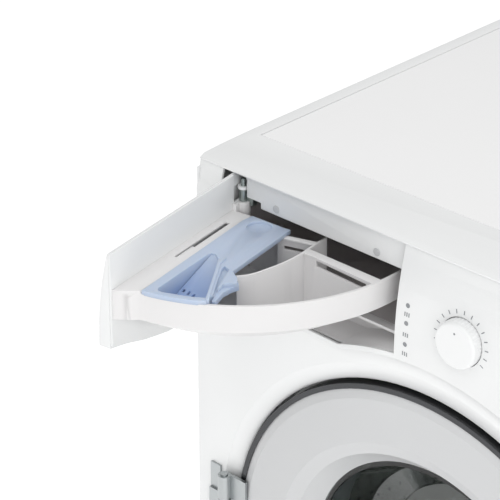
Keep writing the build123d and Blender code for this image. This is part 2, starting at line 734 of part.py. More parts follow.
# ---- tub, hung as one unit ----
tub_skin = 3.0
with BuildPart() as tub_front:
    with BuildSketch(Plane.YZ):
        with BuildLine():
            Polyline(
                (tub_front_y, door_z + 186),
                (tub_front_y, door_z + 250),
                (tub_front_y + 14, door_z + tub_radius),
                (front + 250, door_z + tub_radius),
                (front + 250, door_z + tub_radius - tub_skin),
                (tub_front_y + 15, door_z + tub_radius - tub_skin),
                (tub_front_y + tub_skin, door_z + 249),
                (tub_front_y + tub_skin, door_z + 186),
                close=True,
            )
        make_face()
    revolve(axis=drum_axis)
save(tub_front, "tub_front")

bearing_bore = 26.0
with BuildPart() as tub_rear:
    with BuildSketch(Plane.YZ):
        with BuildLine():
            Polyline(
                (front + 250.2, door_z + tub_radius),
                (tub_back_y - 3, door_z + tub_radius),
                (tub_back_y, door_z + tub_radius - 3),
                (tub_back_y, door_z + 44),
                (tub_back_y + 10, door_z + 44),
                (tub_back_y + 10, door_z + bearing_bore),
                (front + 404, door_z + bearing_bore),
                (front + 404, door_z + 44),
                (tub_back_y - 4, door_z + 44),
                (tub_back_y - 4, door_z + tub_radius - tub_skin),
                (front + 250.2, door_z + tub_radius - tub_skin),
                close=True,
            )
        make_face()
    revolve(axis=drum_axis)
    # motor bracket, damper lugs, spring lugs and the heater's holes
    for x in (-52, 40):
        block(x, x + 12, front + 270, front + 290, motor_z + 40, door_z - 252)
    for side in (-1, 1):
        for x in (side * damper_x - 6.2, side * damper_x + 6.2):
            block(x - 1.9, x + 1.9, damper_y - 8, damper_y + 8, 274, 306)
        x0, x1 = sorted((side * (spring_x - 6), side * (spring_x + 6)))
        block(x0, x1, spring_y - 8, spring_y + 8, 566, spring_bottom - 2)
    for x in (-30, 30):
        disc(x, door_z - 245, 3.7, front + 410, tub_back_y + 5, mode=Mode.SUBTRACT)
save(tub_rear, "tub_rear")

with BuildPart() as bearings:
    tube_ring(bearing_bore, 15, front + 404.2, front + 418)
    tube_ring(bearing_bore, 15, front + 424, front + 439.8)
save(bearings, "bearings")

with BuildPart() as door_seal:
    with BuildSketch(Plane.YZ):
        with BuildLine():
            Polyline(
                (front + 33, door_z + 171.6),
                (front + 33, door_z + 153),
                (front + 36, door_z + 153),
                (front + 36, door_z + 166),
                (front + 50, door_z + 166),
                (front + 52, door_z + 182),
                (front + 54, door_z + 170),
                (front + 88, door_z + 170),
                (front + 88, door_z + 185.8),
                (tub_front_y, door_z + 185.8),
                (tub_front_y, door_z + 173),
                (front + 58, door_z + 173),
                (front + 56, door_z + 186),
                (front + 48, door_z + 186),
                (front + 46, door_z + 171.6),
                close=True,
            )
        make_face()
    revolve(axis=drum_axis)
save(door_seal, "door_seal")

with BuildPart() as counterweights:
    with BuildSketch(facing(front + 42)):
        with Locations((0, door_z)):
            Circle(256)
            Circle(194, mode=Mode.SUBTRACT)
            with Locations((0, 190)):
                Rectangle(600, 500, mode=Mode.SUBTRACT)
    extrude(amount=-(tub_front_y - 0.2 - front - 42))
    block(-150, 150, front + 262, front + 400, 713, 790)
save(counterweights, "counterweights")

with BuildPart() as heater:
    for x in (-30, 30):
        disc(x, door_z - 245, 3.5, front + 110, tub_back_y + 20)
    block(-33, 33, front + 106, front + 112, door_z - 248.5, door_z - 241.5)
    block(-40, 40, tub_back_y + 0.1, tub_back_y + 8, door_z - 252, door_z - 238)
save(heater, "heater")

with BuildPart() as motor:
    disc(0, motor_z, 58, front + 290, front + 420)
    disc(0, motor_z, 40, front + 272, front + 290)
    block(-52, 52, front + 270, front + 290, motor_z + 30, motor_z + 40)
    disc(0, motor_z, 7 + running, front + 268, front + 424, mode=Mode.SUBTRACT)
save(motor, "motor")

with BuildPart() as motor_pulley:
    disc(0, motor_z, 7, front + 276, pulley_y + 18)
    disc(0, motor_z, motor_pulley_radius, pulley_y, pulley_y + 18)
save(motor_pulley, "motor_pulley")

with BuildPart() as drive_belt:
    with BuildSketch(facing(pulley_y + 2)):
        big, small, rise = pulley_radius + 0.4, motor_pulley_radius + 0.4, door_z - motor_z
        for grow, how in ((3.0, Mode.ADD), (0.0, Mode.SUBTRACT)):
            with Locations((0, door_z)):
                Circle(big + grow, mode=how)
            with Locations((0, motor_z)):
                Circle(small + grow, mode=how)
            lean = (big - small) / rise
            reach = sqrt(1 - lean * lean)
            with BuildLine(mode=Mode.PRIVATE) as flank:
                Polyline(
                    ((big + grow) * reach, door_z - (big + grow) * lean),
                    ((small + grow) * reach, motor_z - (small + grow) * lean),
                    (-(small + grow) * reach, motor_z - (small + grow) * lean),
                    (-(big + grow) * reach, door_z - (big + grow) * lean),
                    close=True,
                )
            make_face(flank.edges(), mode=how)
    extrude(amount=-14)
save(drive_belt, "drive_belt")

# ---- drum ----
drum_skin = 1.2
with BuildPart() as drum:
    with BuildSketch(Plane.YZ):
        with BuildLine():
            Polyline(
                (drum_front, door_z + 180),
                (drum_front, door_z + 232),
                (drum_front + 6, door_z + drum_radius),
                (drum_back - 4, door_z + drum_radius),
                (drum_back, door_z + 230),
                (drum_back, door_z + 40),
                (drum_back - 2, door_z + 40),
                (drum_back - 2, door_z + 229),
                (drum_back - 5, door_z + drum_radius - drum_skin),
                (drum_front + 7, door_z + drum_radius - drum_skin),
                (drum_front + 1.5, door_z + 231),
                (drum_front + 1.5, door_z + 180),
                close=True,
            )
        make_face()
    revolve(axis=drum_axis)
    disc(0, door_z, 40.1, drum_back - 2, drum_back)
save(drum, "drum")

with BuildPart() as drum_lifters:
    with BuildSketch(facing(drum_front + 30)):
        with Locations((0, door_z)):
            for turn in (90, 210, 330):
                a = radians(turn)
                with BuildLine(mode=Mode.PRIVATE) as outline:
                    r0, r1, w0, w1 = drum_radius - drum_skin - 3.5, 192, 34, 12
                    Polyline(
                        (r0 * cos(a) - w0 * sin(a), door_z + r0 * sin(a) + w0 * cos(a)),
                        (r1 * cos(a) - w1 * sin(a), door_z + r1 * sin(a) + w1 * cos(a)),
                        (r1 * cos(a) + w1 * sin(a), door_z + r1 * sin(a) - w1 * cos(a)),
                        (r0 * cos(a) + w0 * sin(a), door_z + r0 * sin(a) - w0 * cos(a)),
                        close=True,
                    )
                make_face(outline.edges())
    extrude(amount=-240)
save(drum_lifters, "drum_lifters")

with BuildPart() as drum_shaft:
    disc(0, door_z, 15 - running, drum_back + 0.1, pulley_y + 22)
    disc(0, door_z, 25, drum_back + 0.1, drum_back + 3.9)
save(drum_shaft, "drum_shaft")

with BuildPart() as drum_pulley:
    tube_ring(pulley_radius, pulley_radius - 8, pulley_y, pulley_y + 18)
    tube_ring(28, 15 - running, pulley_y, pulley_y + 18)
    for turn in range(0, 360, 60):
        a = radians(turn)
        with Locations(Location((82 * cos(a), pulley_y + 9, door_z + 82 * sin(a)), (0, -turn, 0))):
            Box(112, 8, 14)
save(drum_pulley, "drum_pulley")

# ---- suspension ----
with BuildPart() as damper_bodies:
    for x in (-damper_x, damper_x):
        post(x, damper_y, 13, 22, 170)
        post(x, damper_y, 9, 26, 171, mode=Mode.SUBTRACT)
        block(x - 14, x + 14, damper_y - 8, damper_y + 8, cabinet_bottom + 2, 22)
save(damper_bodies, "damper_bodies")

with BuildPart() as damper_rods:
    for x in (-damper_x, damper_x):
        post(x, damper_y, 4, 120, 268)
        post(x, damper_y, 8.7, 116, 126)
        block(x - 3.8, x + 3.8, damper_y - 8, damper_y + 8, 262, 290)
save(damper_rods, "damper_rods")

with BuildPart() as suspension_springs:
    for x in (-spring_x, spring_x):
        for turn in range(24):
            with Locations((x, spring_y, spring_bottom + 34 + turn * 6.2)):
                Torus(11, 2.2)
        post(x - 11, spring_y, 1.6, spring_bottom + 30, spring_top - 30)
        post(x, spring_y, 2.2, spring_top - 30, spring_top)
        post(x, spring_y, 2.2, spring_bottom - 2, spring_bottom + 30)
        block(x - 11, x, spring_y - 2, spring_y + 2, spring_top - 33, spring_top - 29)
        block(x - 11, x, spring_y - 2, spring_y + 2, spring_bottom + 28, spring_bottom + 32)
save(suspension_springs, "suspension_springs")

# ---- water ----
with BuildPart() as inlet_valve:
    disc(-150, 760, 13.2, back - 4, back + 12)
    disc(-150, 760, 7, back - 3, back + 13, mode=Mode.SUBTRACT)
    block(-176, -124, back - 58, back - 4, 738, 784)
save(inlet_valve, "inlet_valve")

hose_x, hose_y = 273.0, back - 34.0
with BuildPart() as drain_hose:
    # from the pump's outlet along the right side, up the back corner and out through the rear panel
    with BuildLine():
        FilletPolyline(
            (filter_x + 30, front + 145, filter_z),
            (hose_x, front + 145, filter_z),
            (hose_x, hose_y, filter_z),
            (hose_x, hose_y, 700),
            (220, hose_y, 700),
            (220, back - 6, 700),
            radius=20,
        )
    with BuildSketch(Plane.YZ.offset(filter_x + 30)):
        with Locations((front + 145, filter_z)):
            Circle(10)
    sweep()
    disc(220, 700, 11, back - 8, back + 14)
    disc(220, 700, 16, back - 5, back - 2)
    disc(220, 700, 9, back - 6, back + 15, mode=Mode.SUBTRACT)
save(drain_hose, "drain_hose")

with BuildPart() as drain_pump:
    disc(filter_x, filter_z, 34, front + 30, front + 120)
    disc(filter_x, filter_z, 30, front + 29, front + 100, mode=Mode.SUBTRACT)
    disc(filter_x, filter_z, 22, front + 120, front + 170)
    with Locations(Location((filter_x + 25, front + 145, filter_z), (0, 90, 0))):
        Cylinder(10, 10)
    block(166, 234, front + 76, front + 140, cabinet_bottom + 2, 34)
save(drain_pump, "drain_pump")

with BuildPart() as filter_cap:
    disc(filter_x, filter_z, 29.6, front + 8, front + 60)
    disc(filter_x, filter_z, 25, front + 12, front + 61, mode=Mode.SUBTRACT)
    block(filter_x - 24, filter_x + 24, front + 5, front + 8, filter_z - 3, filter_z + 3)
save(filter_cap, "filter_cap")

with BuildPart() as service_flap:
    block(flap_x0 + flap_gap, flap_x1 - flap_gap, front + 1, front + 3.4, flap_foot, flap_z1 - flap_gap)
    # round pins at its foot
    for x in (flap_x0 + flap_gap - 0.3, flap_x1 - flap_gap + 0.3):
        with Locations(Location((x, front + 2.2, flap_foot + 1.2), (0, 90, 0))):
            Cylinder(1.2, 0.6)
save(service_flap, "service_flap")

# ---- feet and screws ----
for name, x, y in (
    ("foot_front_left", -250, front + 55),
    ("foot_front_right", 250, front + 55),
    ("foot_rear_left", -250, back - 55),
    ("foot_rear_right", 250, back - 55),
):
    with BuildPart() as foot:
        post(x, y, 20, 0, 8)
        chamfer(foot.edges().group_by(Axis.Z)[-1], 2)
        post(x, y, 9, 8, 13.5)
        post(x, y, 5, 8, 44)
    save(foot, name)

with BuildPart() as screws:
    for x in (-199.9, -73.3):
        disc(x, 819.5, 4.0, front + 10.6, front + 11.5)
    for z in (80, 440, 800):
        for x in (-half + 9, half - 9):
            disc(x, z, 4.5, back, back + 2)
    for turn in range(45, 360, 90):
        a = radians(turn)
        disc(180 * cos(a), door_z + 180 * sin(a), 4, back, back + 2)
save(screws, "screws")
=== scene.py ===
import json
from math import cos, pi, radians, sin

import bpy
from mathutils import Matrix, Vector

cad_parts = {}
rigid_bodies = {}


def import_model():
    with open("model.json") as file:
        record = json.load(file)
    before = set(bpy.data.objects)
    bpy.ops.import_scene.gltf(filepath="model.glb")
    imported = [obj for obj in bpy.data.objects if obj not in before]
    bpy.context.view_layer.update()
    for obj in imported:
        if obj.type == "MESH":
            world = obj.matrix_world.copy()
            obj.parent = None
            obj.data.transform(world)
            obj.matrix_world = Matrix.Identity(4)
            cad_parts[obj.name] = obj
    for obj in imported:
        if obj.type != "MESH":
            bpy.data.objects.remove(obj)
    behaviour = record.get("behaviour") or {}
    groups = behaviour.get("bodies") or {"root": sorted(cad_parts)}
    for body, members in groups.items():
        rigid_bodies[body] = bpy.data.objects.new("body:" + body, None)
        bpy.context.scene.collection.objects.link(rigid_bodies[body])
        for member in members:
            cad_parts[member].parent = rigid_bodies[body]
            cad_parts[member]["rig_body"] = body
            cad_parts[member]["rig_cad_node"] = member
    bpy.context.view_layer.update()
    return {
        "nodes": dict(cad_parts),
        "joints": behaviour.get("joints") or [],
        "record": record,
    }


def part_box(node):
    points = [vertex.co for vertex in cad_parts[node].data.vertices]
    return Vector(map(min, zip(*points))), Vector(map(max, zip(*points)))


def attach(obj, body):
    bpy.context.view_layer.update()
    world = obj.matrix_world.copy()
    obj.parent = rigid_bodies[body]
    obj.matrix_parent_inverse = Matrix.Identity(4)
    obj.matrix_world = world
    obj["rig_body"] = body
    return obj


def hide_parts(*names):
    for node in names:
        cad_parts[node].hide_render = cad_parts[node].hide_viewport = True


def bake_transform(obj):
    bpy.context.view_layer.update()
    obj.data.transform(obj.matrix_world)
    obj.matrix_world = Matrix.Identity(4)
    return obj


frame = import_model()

# A front loading washing machine with its detergent drawer swung open: its looks, round the CAD frame.
# Metres, +Z up, +X to the right of someone facing the front.

MM = 0.001
nodes = frame["nodes"]
joints = {joint["name"]: joint for joint in frame["joints"]}
front_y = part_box("front_panel")[0].y

hinge = Vector(joints["drawer_swing"]["pos_m"])
open_angle = radians(joints["drawer_swing"]["range_deg"][1])
drum_centre = Vector(joints["drum_spin"]["pos_m"])


def drawer_point(u, v, z):
    """Where a point of the open drawer is: u mm along its front from the hinge, v mm behind, z mm up."""
    x = hinge.x + (u * cos(open_angle) + v * sin(open_angle)) * MM
    y = hinge.y + (v * cos(open_angle) - u * sin(open_angle)) * MM
    return Vector((x, y, z * MM))


# ---- camera ----
def make_camera():
    """Looks down on the front left top corner, where the drawer is, from the right."""
    target = Vector((-0.2238, front_y, 0.7710))
    azimuth, elevation, distance = radians(43.47), radians(27.99), 2.1075
    back = Vector((sin(azimuth) * cos(elevation), -cos(azimuth) * cos(elevation), sin(elevation)))
    lens = bpy.data.cameras.new("camera")
    lens.lens = 156.1
    lens.sensor_width = 36.0
    camera = bpy.data.objects.new("camera", lens)
    bpy.context.scene.collection.objects.link(camera)
    camera.location = target + back * distance
    camera.rotation_mode = "QUATERNION"
    camera.rotation_quaternion = (-back).to_track_quat("-Z", "Y")
    bpy.context.scene.camera = camera


make_camera()


# ---- materials ----
def linear(hex_colour):
    """An sRGB hex colour as linear red, green, blue and alpha."""
    channels = [int(hex_colour[i:i + 2], 16) / 255 for i in (1, 3, 5)]
    return tuple(c / 12.92 if c <= 0.04045 else ((c + 0.055) / 1.055) ** 2.4 for c in channels) + (1.0,)


def add_node(material, kind, settings=None, inputs=None):
    """Adds one node, with its settings, and with values or other nodes' outputs on its sockets."""
    tree = material.node_tree
    node = tree.nodes.new(kind)
    for name, value in (settings or {}).items():
        setattr(node, name, value)
    for name, value in (inputs or {}).items():
        if isinstance(value, bpy.types.NodeSocket):
            tree.links.new(value, node.inputs[name])
        else:
            node.inputs[name].default_value = value
    return node


def blank(name):
    """A material with no nodes yet, and the Object coordinates that its patterns read."""
    material = bpy.data.materials.new(name)
    material.use_nodes = True
    material.node_tree.nodes.clear()
    place = add_node(material, "ShaderNodeTexCoord").outputs["Object"]
    return material, place


def close(material, shader):
    """Puts the shader on the material's surface."""
    add_node(material, "ShaderNodeOutputMaterial", inputs={"Surface": shader.outputs[0]})
    return material


def pattern_scale(size_mm):
    """A texture's scale for marks of a real size."""
    return 1 / (size_mm * MM)


def moulded(name, light, dark, roughness, grain_mm=1.2, grain_depth=0.00002, **shader_values):
    """Moulded plastic or paint: two close colours in broad clouds, and a fine grain in its shine."""
    material, place = blank(name)
    clouds = add_node(material, "ShaderNodeTexNoise", inputs={
        "Vector": place, "Scale": pattern_scale(160), "Detail": 3.0})
    colour = add_node(material, "ShaderNodeMix", {"data_type": "RGBA"},
                      {0: clouds.outputs["Fac"], 6: linear(light), 7: linear(dark)})
    grain = add_node(material, "ShaderNodeTexNoise", inputs={
        "Vector": place, "Scale": pattern_scale(grain_mm), "Detail": 2.0})
    shine = add_node(material, "ShaderNodeMapRange", inputs={
        "Value": grain.outputs["Fac"], "To Min": roughness - 0.04, "To Max": roughness + 0.05})
    bump = add_node(material, "ShaderNodeBump", inputs={
        "Height": grain.outputs["Fac"], "Strength": 0.5, "Distance": grain_depth})
    values = {
        "Base Color": colour.outputs[2],
        "Roughness": shine.outputs["Result"],
        "Normal": bump.outputs["Normal"],
    }
    values.update(shader_values)
    shader = add_node(material, "ShaderNodeBsdfPrincipled", inputs=values)
    return close(material, shader)


# stove enamel on steel: a soft gloss with a faint orange peel a few millimetres across
stove_enamel = moulded("stove_enamel_white", "#F0F1F1", "#ECEDED", 0.3, 4.0, 0.00003, IOR=1.52)
# injection moulded ABS: satin, with the very fine spark texture of its mould
abs_white = moulded("abs_white_satin", "#EEEFEF", "#EAEBEB", 0.36, 1.1, 0.00001, IOR=1.53)
# the bowed front pieces are the same ABS, a shade darker: painted shade for the fronts, which lie under the
# trim and away from the light above
abs_drawer = moulded("abs_white_front_painted_shade", "#EBECEC", "#E7E8E8", 0.34, 1.1, 0.00001, IOR=1.53)
# melamine faced board: flat, even, with a pearl grain that one feels more than sees
melamine = moulded("melamine_white", "#F4F4F4", "#F1F1F1", 0.42, 1.6, 0.00002, IOR=1.5)
# polypropylene, unpainted: a little see-through, so its thin walls glow where light falls on their backs
tray_plastic = moulded("polypropylene_pale_grey", "#E4E3E3", "#DFDEDE", 0.4, 1.4, 0.00001,
                       **{"Subsurface Weight": 0.15, "Subsurface Scale": 0.004,
                          "Subsurface Radius": (1.0, 1.0, 1.0)})
# mineral filled polypropylene, dull and dark, of the parts one hardly sees
dark_plastic = moulded("polypropylene_dark_grey", "#4B4949", "#444242", 0.55, 1.6, 0.00003)
# the dispenser's housing is a lighter, warmer grey
housing_plastic = moulded("polypropylene_mid_grey", "#B4B0B0", "#ABA7A7", 0.5, 1.6, 0.00003)
# painted ABS of the door trim, silver grey
door_trim = moulded("abs_silver_grey", "#CDCECF", "#C8C9CA", 0.3, 1.0, 0.00001, IOR=1.53)
# glass filled polypropylene of the tub, with flow clouds
tub_plastic = moulded("polypropylene_glass_filled", "#C3C2BC", "#B3B1AA", 0.6, 2.4, 0.00006)
# black nylon of the feet
nylon_black = moulded("nylon_black", "#232324", "#1C1C1D", 0.5, 1.2, 0.00003)
# stoved black paint on the motor and the dampers
black_paint = moulded("enamel_black", "#1E1F20", "#19191A", 0.35, 3.0, 0.00003)
# EPDM rubber: matt, powdery grey
seal_rubber = moulded("epdm_rubber_grey", "#7B7D7F", "#737577", 0.7, 1.4, 0.00004)
belt_rubber = moulded("neoprene_black", "#17171A", "#121214", 0.65, 1.2, 0.00004)
hose_rubber = moulded("pvc_hose_grey", "#8B8E91", "#818487", 0.5, 1.6, 0.00003)


def make_blue_plastic():
    """Tinted clear polypropylene, pale blue at the plate, with painted shade that darkens it down in the
    well.
    """
    material, place = blank("polypropylene_clear_blue")
    height = add_node(material, "ShaderNodeSeparateXYZ", inputs={"Vector": place})
    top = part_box("softener_insert")[1].z
    depth = add_node(material, "ShaderNodeMapRange", inputs={
        "Value": height.outputs["Z"], "From Min": top - 0.016, "From Max": top - 0.001})
    # painted shade: the blue deepens towards the well's floor, where shade falls
    colour = add_node(material, "ShaderNodeMix", {"data_type": "RGBA"},
                      {0: depth.outputs["Result"], 6: linear("#98ADD2"), 7: linear("#B9C6DA")})
    grain = add_node(material, "ShaderNodeTexNoise", inputs={"Vector": place, "Scale": pattern_scale(1.5)})
    bump = add_node(material, "ShaderNodeBump", inputs={
        "Height": grain.outputs["Fac"], "Strength": 0.4, "Distance": 0.00001})
    shader = add_node(material, "ShaderNodeBsdfPrincipled", inputs={
        "Base Color": colour.outputs[2], "Roughness": 0.3, "Normal": bump.outputs["Normal"],
        "Subsurface Weight": 0.35, "Subsurface Scale": 0.006, "Subsurface Radius": (0.6, 0.8, 1.0)})
    return close(material, shader)


def make_dark_chrome():
    """Smoked chrome on the door's ring: a dark mirror, with faint polishing streaks round it."""
    material, place = blank("chrome_smoked")
    streaks = add_node(material, "ShaderNodeTexNoise", inputs={
        "Vector": place, "Scale": pattern_scale(9), "Detail": 4.0})
    shine = add_node(material, "ShaderNodeMapRange", inputs={
        "Value": streaks.outputs["Fac"], "To Min": 0.14, "To Max": 0.24})
    shader = add_node(material, "ShaderNodeBsdfPrincipled", inputs={
        "Base Color": linear("#4A4B4D"), "Metallic": 0.8, "Roughness": shine.outputs["Result"]})
    return close(material, shader)


def make_glass():
    """Pressed glass: clear, faintly green, with the slow ripple of the mould."""
    material, place = blank("glass_pressed")
    ripple = add_node(material, "ShaderNodeTexNoise", inputs={"Vector": place, "Scale": pattern_scale(45)})
    bump = add_node(material, "ShaderNodeBump", inputs={
        "Height": ripple.outputs["Fac"], "Strength": 0.3, "Distance": 0.0002})
    shader = add_node(material, "ShaderNodeBsdfPrincipled", inputs={
        "Base Color": linear("#E4ECEA"), "Roughness": 0.03, "IOR": 1.5, "Transmission Weight": 1.0,
        "Normal": bump.outputs["Normal"]})
    return close(material, shader)


def make_smoked_acrylic():
    """Smoked acrylic over the display: black, glossy, almost closed."""
    material, place = blank("acrylic_smoked")
    haze = add_node(material, "ShaderNodeTexNoise", inputs={"Vector": place, "Scale": pattern_scale(30)})
    shine = add_node(material, "ShaderNodeMapRange", inputs={
        "Value": haze.outputs["Fac"], "To Min": 0.06, "To Max": 0.12})
    shader = add_node(material, "ShaderNodeBsdfPrincipled", inputs={
        "Base Color": linear("#15171A"), "Roughness": shine.outputs["Result"], "IOR": 1.49})
    return close(material, shader)


def make_galvanised():
    """Hot dipped zinc on sheet: crystals a centimetre across, each a little lighter or darker."""
    material, place = blank("steel_galvanised")
    spangle = add_node(material, "ShaderNodeTexVoronoi", inputs={"Vector": place, "Scale": pattern_scale(11)})
    tone = add_node(material, "ShaderNodeSeparateColor", inputs={"Color": spangle.outputs["Color"]})
    colour = add_node(material, "ShaderNodeMix", {"data_type": "RGBA"},
                      {0: tone.outputs[0], 6: linear("#A9ADB0"), 7: linear("#BDC1C3")})
    shine = add_node(material, "ShaderNodeMapRange", inputs={
        "Value": tone.outputs[1], "To Min": 0.36, "To Max": 0.5})
    shader = add_node(material, "ShaderNodeBsdfPrincipled", inputs={
        "Base Color": colour.outputs[2], "Metallic": 0.85, "Roughness": shine.outputs["Result"]})
    return close(material, shader)


def make_brushed(name, hex_colour, roughness, stretch):
    """Bare metal with fine lines along one direction, from rolling, turning or brushing."""
    material, place = blank(name)
    squeezed = add_node(material, "ShaderNodeMapping", inputs={"Vector": place, "Scale": stretch})
    lines = add_node(material, "ShaderNodeTexNoise", inputs={
        "Vector": squeezed.outputs["Vector"], "Scale": pattern_scale(1.2), "Detail": 4.0})
    shine = add_node(material, "ShaderNodeMapRange", inputs={
        "Value": lines.outputs["Fac"], "To Min": roughness - 0.06, "To Max": roughness + 0.08})
    bump = add_node(material, "ShaderNodeBump", inputs={
        "Height": lines.outputs["Fac"], "Strength": 0.4, "Distance": 0.00002})
    shader = add_node(material, "ShaderNodeBsdfPrincipled", inputs={
        "Base Color": linear(hex_colour), "Metallic": 1.0, "Roughness": shine.outputs["Result"],
        "Normal": bump.outputs["Normal"]})
    return close(material, shader)


def make_concrete():
    """Cast concrete: sand grains of a millimetre or two, and pores darkened with painted shade."""
    material, place = blank("concrete_cast")
    sand = add_node(material, "ShaderNodeTexNoise", inputs={
        "Vector": place, "Scale": pattern_scale(3), "Detail": 6.0})
    pores = add_node(material, "ShaderNodeTexVoronoi", inputs={"Vector": place, "Scale": pattern_scale(9)})
    pits = add_node(material, "ShaderNodeMapRange", inputs={
        "Value": pores.outputs["Distance"], "From Max": 0.25})
    sandy = add_node(material, "ShaderNodeMix", {"data_type": "RGBA"},
                     {0: sand.outputs["Fac"], 6: linear("#8C8A84"), 7: linear("#A8A69F")})
    # painted shade: darker in the pits of the pores
    colour = add_node(material, "ShaderNodeMix", {"data_type": "RGBA"},
                      {0: pits.outputs["Result"], 6: linear("#6E6C67"), 7: sandy.outputs[2]})
    bump = add_node(material, "ShaderNodeBump", inputs={
        "Height": pits.outputs["Result"], "Strength": 0.6, "Distance": 0.0006})
    shader = add_node(material, "ShaderNodeBsdfPrincipled", inputs={
        "Base Color": colour.outputs[2], "Roughness": 0.9, "Normal": bump.outputs["Normal"]})
    return close(material, shader)


def make_drum_steel():
    """Stainless drum sheet, with rows of 4 mm holes every 20 mm round it and along it, the holes painted near
    black: painted shade for the dark seen through them.
    """
    pitch = 20
    rows = 75       # that many rows close round the drum
    wrap = rows * pitch * MM / (2 * pi)
    material, place = blank("steel_drum_perforated")
    split = add_node(material, "ShaderNodeSeparateXYZ", inputs={"Vector": place})
    above = add_node(material, "ShaderNodeMath", {"operation": "SUBTRACT"},
                     {0: split.outputs["Z"], 1: drum_centre.z})
    turn = add_node(material, "ShaderNodeMath", {"operation": "ARCTAN2"},
                    {0: above.outputs[0], 1: split.outputs["X"]})
    around = add_node(material, "ShaderNodeMath", {"operation": "MULTIPLY"}, {0: turn.outputs[0], 1: wrap})
    flat = add_node(material, "ShaderNodeCombineXYZ", inputs={
        "X": around.outputs[0], "Y": split.outputs["Y"]})
    cells = add_node(material, "ShaderNodeTexVoronoi", {"voronoi_dimensions": "2D"},
                     {"Vector": flat.outputs[0], "Scale": pattern_scale(pitch), "Randomness": 0.0})
    hole = add_node(material, "ShaderNodeMapRange", inputs={
        "Value": cells.outputs["Distance"], "From Min": 0.1, "From Max": 0.12})
    # painted shade: near black where the holes are
    colour = add_node(material, "ShaderNodeMix", {"data_type": "RGBA"},
                      {0: hole.outputs["Result"], 6: linear("#0E0E0F"), 7: linear("#C9C9C7")})
    metal = add_node(material, "ShaderNodeMapRange", inputs={"Value": hole.outputs["Result"], "To Min": 0.0})
    bump = add_node(material, "ShaderNodeBump", inputs={
        "Height": hole.outputs["Result"], "Strength": 0.7, "Distance": 0.0006})
    shader = add_node(material, "ShaderNodeBsdfPrincipled", inputs={
        "Base Color": colour.outputs[2], "Metallic": metal.outputs["Result"], "Roughness": 0.27,
        "Normal": bump.outputs["Normal"]})
    return close(material, shader)


blue_plastic = make_blue_plastic()
drum_steel = make_drum_steel()
# the two pegs on the drawer's header, white plastic made a shade greyer than the strip: painted shade for
# their rounded tops
peg_painted_shade = moulded("abs_peg_painted_shade", "#C6C7C8", "#C0C1C2", 0.4, 1.1, 0.00001)
# the marks printed on the control panel
print_ink = moulded("ink_grey", "#8E9194", "#878A8D", 0.5, 0.8, 0.00001)
dark_chrome = make_dark_chrome()
door_glass_clear = make_glass()
smoked_acrylic = make_smoked_acrylic()
galvanised = make_galvanised()
concrete = make_concrete()
zinc_plated = make_brushed("steel_zinc_plated", "#B4B8B9", 0.34, (1, 1, 0.1))
stainless = make_brushed("steel_stainless", "#C9C9C7", 0.26, (1, 0.06, 1))
cast_aluminium = make_brushed("aluminium_die_cast", "#B9BBBD", 0.42, (1, 1, 1))
# the hinge's post has a grey passivated coat
passivated = make_brushed("steel_passivated", "#A7B0AD", 0.38, (1, 1, 0.1))

finish_of = {
    "side_panel_left": stove_enamel, "side_panel_right": stove_enamel, "front_panel": stove_enamel,
    "rear_panel": galvanised, "rear_cover": galvanised, "base_frame": galvanised, "crossbars": galvanised,
    "hinge_bracket": passivated, "door_lock": dark_plastic, "hinge_washer": abs_white,
    "kick_panel": abs_white, "worktop_frame": abs_white, "control_panel": abs_drawer,
    "dispenser_header": abs_drawer, "drawer_front": abs_drawer, "service_flap": abs_white,
    "programme_knob": abs_white, "start_button": abs_white, "option_button": abs_white,
    "worktop_panel": melamine, "detergent_tray": tray_plastic, "drawer_liner": abs_drawer,
    "drawer_scoop": tray_plastic, "softener_insert": blue_plastic, "dispenser_housing": housing_plastic,
    "drain_pump": dark_plastic, "filter_cap": dark_plastic, "inlet_valve": dark_plastic,
    "control_box": dark_plastic, "door_frame": door_trim, "door_back_ring": door_trim,
    "door_ring": dark_chrome, "door_handle": dark_chrome, "door_glass": door_glass_clear,
    "display_window": smoked_acrylic,
    "door_fittings": zinc_plated, "door_hinge_bracket": zinc_plated, "latch_hook": zinc_plated,
    "drum_shaft": zinc_plated, "motor_pulley": zinc_plated, "screws": zinc_plated, "heater": stainless,
    "damper_rods": zinc_plated, "bearings": zinc_plated, "drum": drum_steel, "drum_lifters": tub_plastic,
    "door_seal": seal_rubber, "drive_belt": belt_rubber, "drain_hose": hose_rubber, "tub_front": tub_plastic,
    "tub_rear": tub_plastic, "counterweights": concrete, "motor": black_paint, "damper_bodies": black_paint,
    "suspension_springs": black_paint, "drum_pulley": cast_aluminium, "foot_front_left": nylon_black,
    "foot_front_right": nylon_black, "foot_rear_left": nylon_black, "foot_rear_right": nylon_black,
}
body_of = {node: body for body, members in frame["record"]["behaviour"]["bodies"].items() for node in members}


def paint(piece, material):
    """The piece has this one finish."""
    piece.data.materials.clear()
    piece.data.materials.append(material)


for node_name, material in finish_of.items():
    paint(nodes[node_name], material)


# ---- modelling helpers ----
def take(piece):
    """Selects one piece alone and makes it active."""
    bpy.ops.object.select_all(action="DESELECT")
    piece.select_set(True)
    bpy.context.view_layer.objects.active = piece


def finish_piece(piece, node, smooth=35):
    """The piece takes the finish, slot and body of a CAD node."""
    take(piece)
    bpy.ops.object.shade_smooth_by_angle(angle=radians(smooth))
    paint(piece, finish_of[node])
    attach(piece, body_of[node])


def soften(piece, width_mm, segments=3, limit=34):
    """Rounds the edges where two faces meet at more than limit degrees."""
    take(piece)
    bevel = piece.modifiers.new("rounded_edges", "BEVEL")
    bevel.width = width_mm * MM
    bevel.segments = segments
    bevel.limit_method = "ANGLE"
    bevel.angle_limit = radians(limit)
    bpy.ops.object.modifier_apply(modifier=bevel.name)


